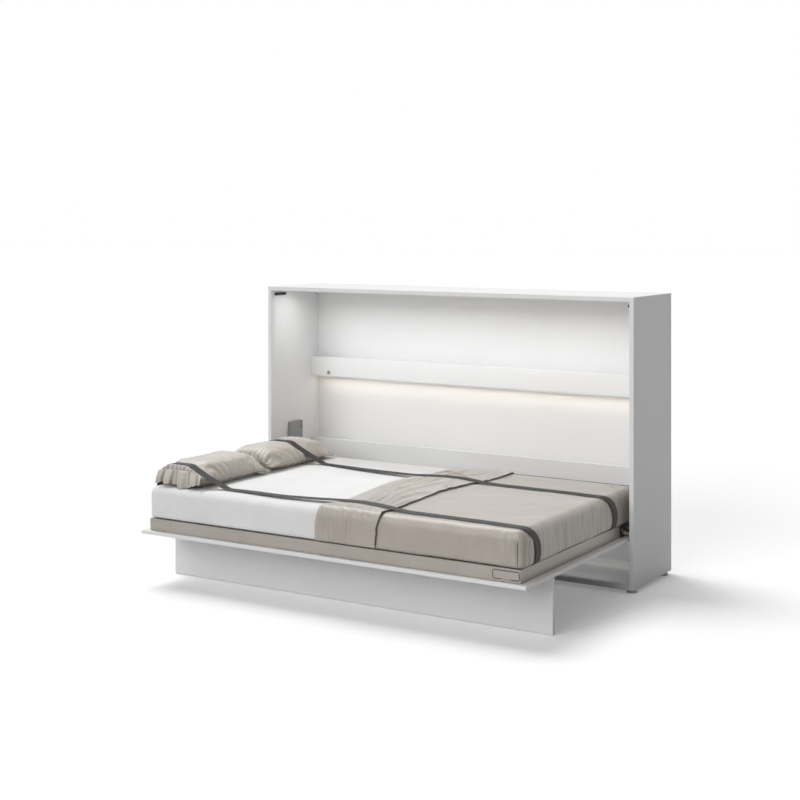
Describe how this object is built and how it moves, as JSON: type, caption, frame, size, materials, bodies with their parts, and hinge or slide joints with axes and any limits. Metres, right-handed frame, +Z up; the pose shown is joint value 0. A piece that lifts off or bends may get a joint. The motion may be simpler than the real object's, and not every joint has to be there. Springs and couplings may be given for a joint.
{
  "type": "wall bed",
  "caption": "Horizontal fold-down wall bed: low white cabinet with lipped shelves behind the bed, slatted steel frame, strapped bedding and a fold-under leg board.",
  "frame": {"origin": "on the floor, at the middle of the open bed's whole outline", "axes": "+X along the cabinet to the right seen from the open side, +Y towards the wall, +Z up"},
  "size_m": [2.11, 1.521, 1.38],
  "materials": {
    "white_board": "smooth white laminate on board",
    "white_back": "matt white laminate on board",
    "frame_steel": "champagne beige satin powder coat",
    "grey_steel": "mid grey powder coat",
    "black_steel": "black satin paint",
    "zinc_steel": "bright zinc plating",
    "chromed_rod": "polished chromed rod",
    "bush_bronze": "sintered bronze",
    "black_plastic": "black matt plastic",
    "grey_plastic": "grey matt plastic",
    "led_aluminium": "anodised channel",
    "led_diffuser": "milky diffuser, warm white when lit",
    "slat_wood": "beech veneer",
    "sheet_cotton": "white cotton fitted sheet",
    "duvet_satin": "beige satin",
    "pillow_satin": "beige satin with piping",
    "strap_webbing": "dark grey woven webbing"
  },
  "bodies": {
    "cabinet": {"side_panel_left": "white_board", "side_panel_right": "white_board", "top_panel": "white_board", "bottom_panel": "white_board", "back_panel": "white_back", "wall_rail": "white_board", "cam_locks": "zinc_steel", "levelling_feet": "grey_plastic", "upper_shelf": "white_board", "upper_shelf_lip": "white_board", "lower_shelf": "white_board", "lower_shelf_lip": "white_board", "led_profile": "led_aluminium", "led_diffuser": "led_diffuser", "led_switch": "grey_plastic", "catch_left": "black_plastic", "catch_right": "black_plastic", "mechanism_plate_left": "grey_steel", "mechanism_plate_right": "grey_steel", "spring_cover_left": "grey_steel", "spring_cover_right": "grey_steel", "pivot_pin_left": "zinc_steel", "pivot_pin_right": "zinc_steel", "anchor_studs": "zinc_steel"},
    "bed": {"frame_rail_front": "frame_steel", "frame_rail_rear": "frame_steel", "frame_rail_left": "frame_steel", "frame_rail_right": "frame_steel", "frame_cross_beams": "frame_steel", "slats": "slat_wood", "slat_holders_front": "black_plastic", "slat_holders_rear": "black_plastic", "corner_plate_left": "frame_steel", "corner_plate_right": "frame_steel", "hinge_plate_left": "black_steel", "hinge_plate_right": "black_steel", "pivot_bush_left": "bush_bronze", "pivot_bush_right": "bush_bronze", "hinge_plate_screws": "zinc_steel", "front_panel": "white_board", "panel_spacers": "black_plastic", "panel_screws": "zinc_steel", "leg_hinge_upper_leaves": "zinc_steel", "leg_hinge_pins": "zinc_steel", "mattress": "sheet_cotton", "duvet": "duvet_satin", "pillow_front": "pillow_satin", "pillow_rear": "pillow_satin", "strap_front": "strap_webbing", "strap_rear": "strap_webbing", "strap_buckles": "black_plastic"},
    "leg": {"leg_board": "white_board", "leg_hinge_lower_leaves": "zinc_steel", "leg_glides": "grey_plastic"},
    "spring_tube_left": {"gas_spring_tube_left": "black_steel"},
    "spring_rod_left": {"gas_spring_rod_left": "chromed_rod"},
    "spring_tube_right": {"gas_spring_tube_right": "black_steel"},
    "spring_rod_right": {"gas_spring_rod_right": "chromed_rod"}
  },
  "joints": [
    {"name": "bed_fold", "type": "hinge", "parent": "cabinet", "child": "bed", "pos_m": [0, 0.318, 0.2755], "axis": [-1, 0, 0], "range_deg": [0, 90]},
    {"name": "leg_fold", "type": "hinge", "parent": "bed", "child": "leg", "pos_m": [0, -0.5135, 0.241], "axis": [-1, 0, 0], "range_deg": [0, 90]},
    {"name": "spring_swing_left", "type": "hinge", "parent": "cabinet", "child": "spring_tube_left", "pos_m": [-1.0203, 0.4895, 0.6], "axis": [-1, 0, 0], "range_deg": [0, 4.8]},
    {"name": "spring_slide_left", "type": "slide", "parent": "spring_tube_left", "child": "spring_rod_left", "axis": [0, -0.286, -0.9582], "range_m": [0, 0.11]},
    {"name": "spring_swing_right", "type": "hinge", "parent": "cabinet", "child": "spring_tube_right", "pos_m": [1.0203, 0.4895, 0.6], "axis": [-1, 0, 0], "range_deg": [0, 4.8]},
    {"name": "spring_slide_right", "type": "slide", "parent": "spring_tube_right", "child": "spring_rod_right", "axis": [0, -0.286, -0.9582], "range_m": [0, 0.11]}
  ],
  "couplings": [
    {"joint": "spring_swing_left", "follows": "bed_fold", "ratio": 0.052511},
    {"joint": "spring_slide_left", "follows": "bed_fold", "m_per_rad": 0.069288},
    {"joint": "spring_swing_right", "follows": "bed_fold", "ratio": 0.052511},
    {"joint": "spring_slide_right", "follows": "bed_fold", "m_per_rad": 0.069288}
  ]
}
